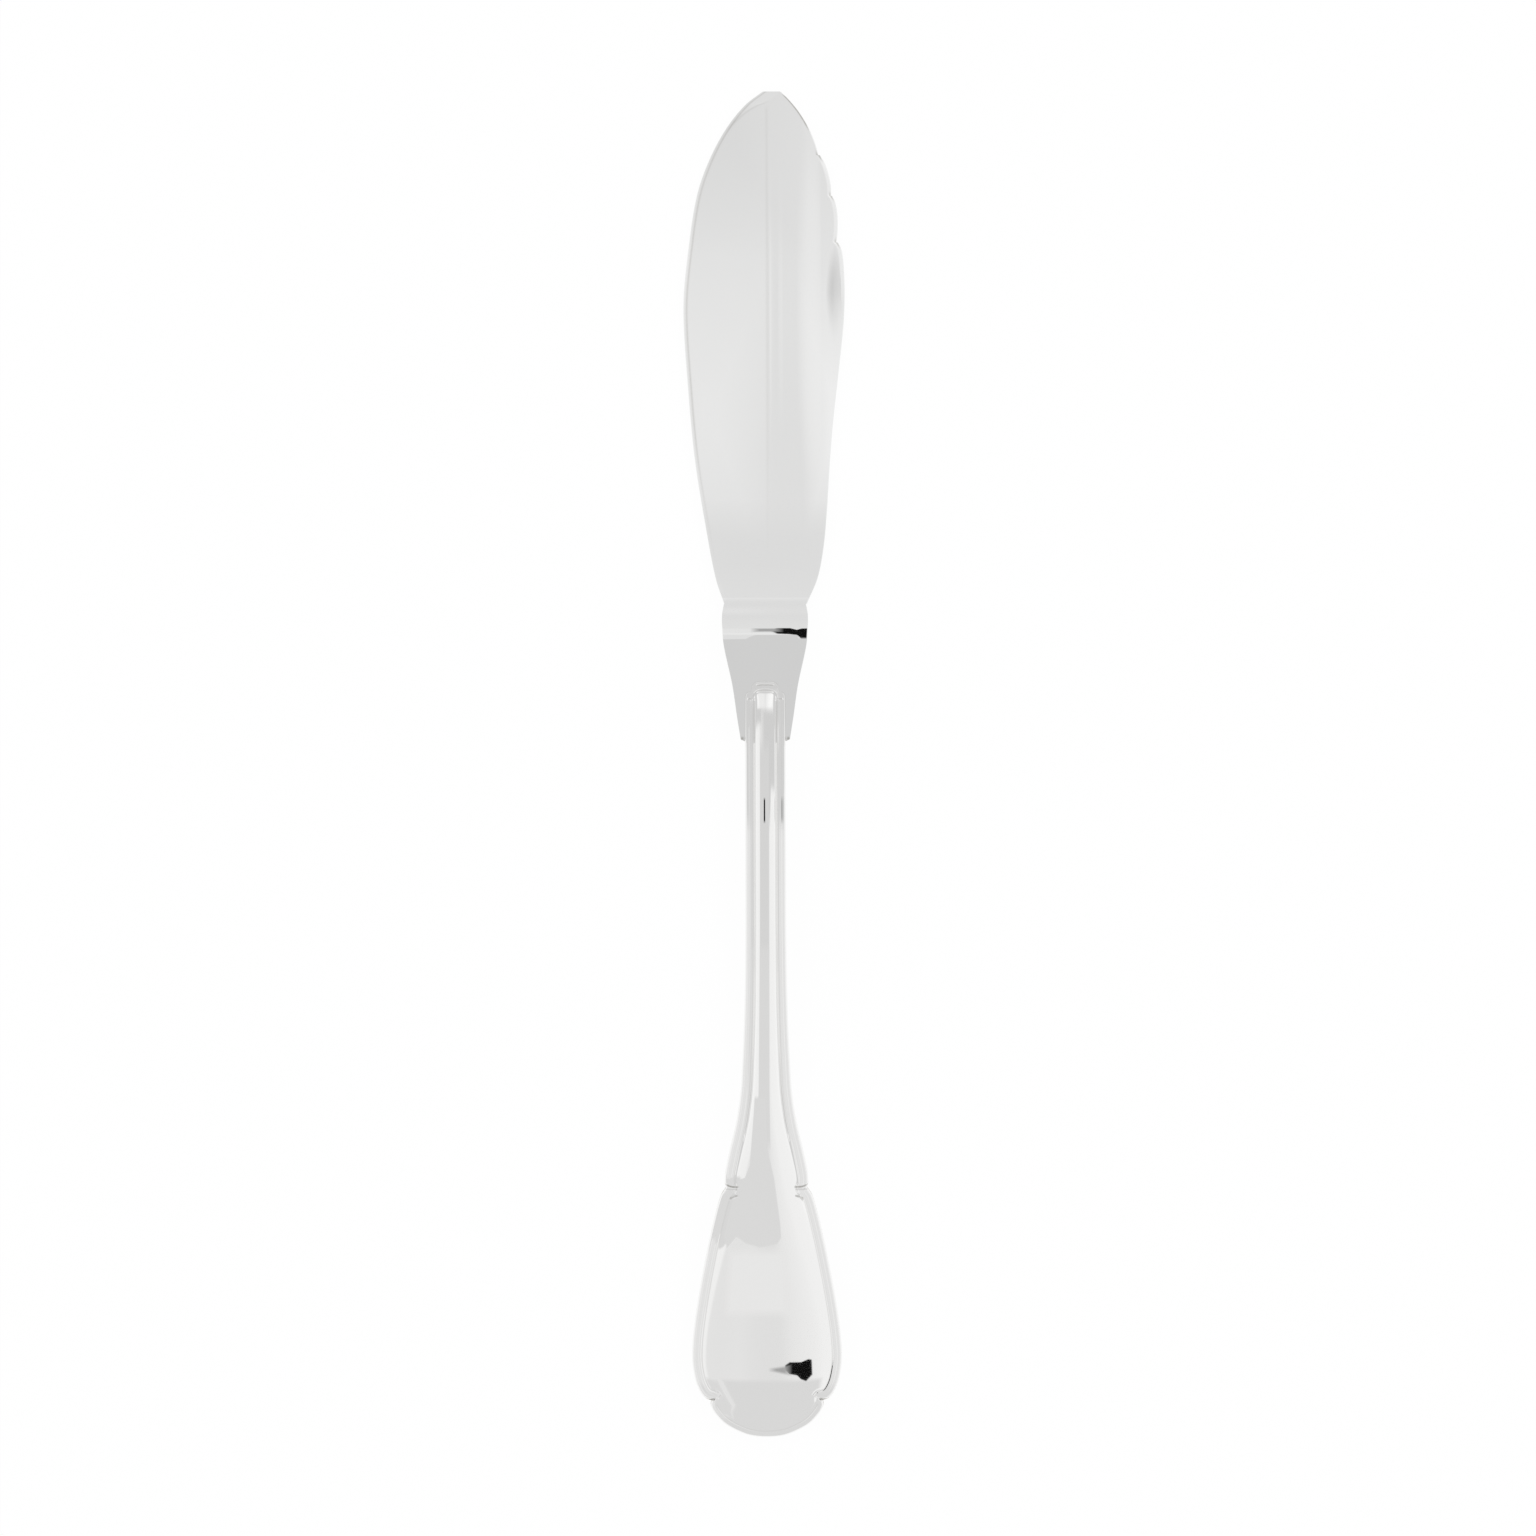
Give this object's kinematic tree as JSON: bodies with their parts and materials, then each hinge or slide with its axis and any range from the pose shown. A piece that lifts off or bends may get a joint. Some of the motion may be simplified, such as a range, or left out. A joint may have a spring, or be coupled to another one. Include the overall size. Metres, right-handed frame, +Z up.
{
  "type": "fish knife",
  "caption": "Fish knife with a flat scalloped blade, a cranked neck and a slim hollow handle with thread mouldings, in polished silver plate.",
  "frame": {"origin": "centre of the bounding box at the plane that the knife lies on, face up", "axes": "+X across the blade towards its scalloped back, +Y along the knife towards the tip, +Z up out of its face"},
  "size_m": [0.0252, 0.21, 0.007],
  "materials": {
    "blade_silver": "mirror-polished silver plate",
    "handle_silver": "mirror-polished silver plate",
    "hard_solder": "polished silver solder",
    "handle_cement": "matt cast cement"
  },
  "bodies": {
    "root": {"blade": "blade_silver", "handle_front_shell": "handle_silver", "handle_back_shell": "handle_silver", "seam_solder": "hard_solder", "mouth_solder": "hard_solder", "handle_filler": "handle_cement"}
  },
  "joints": []
}
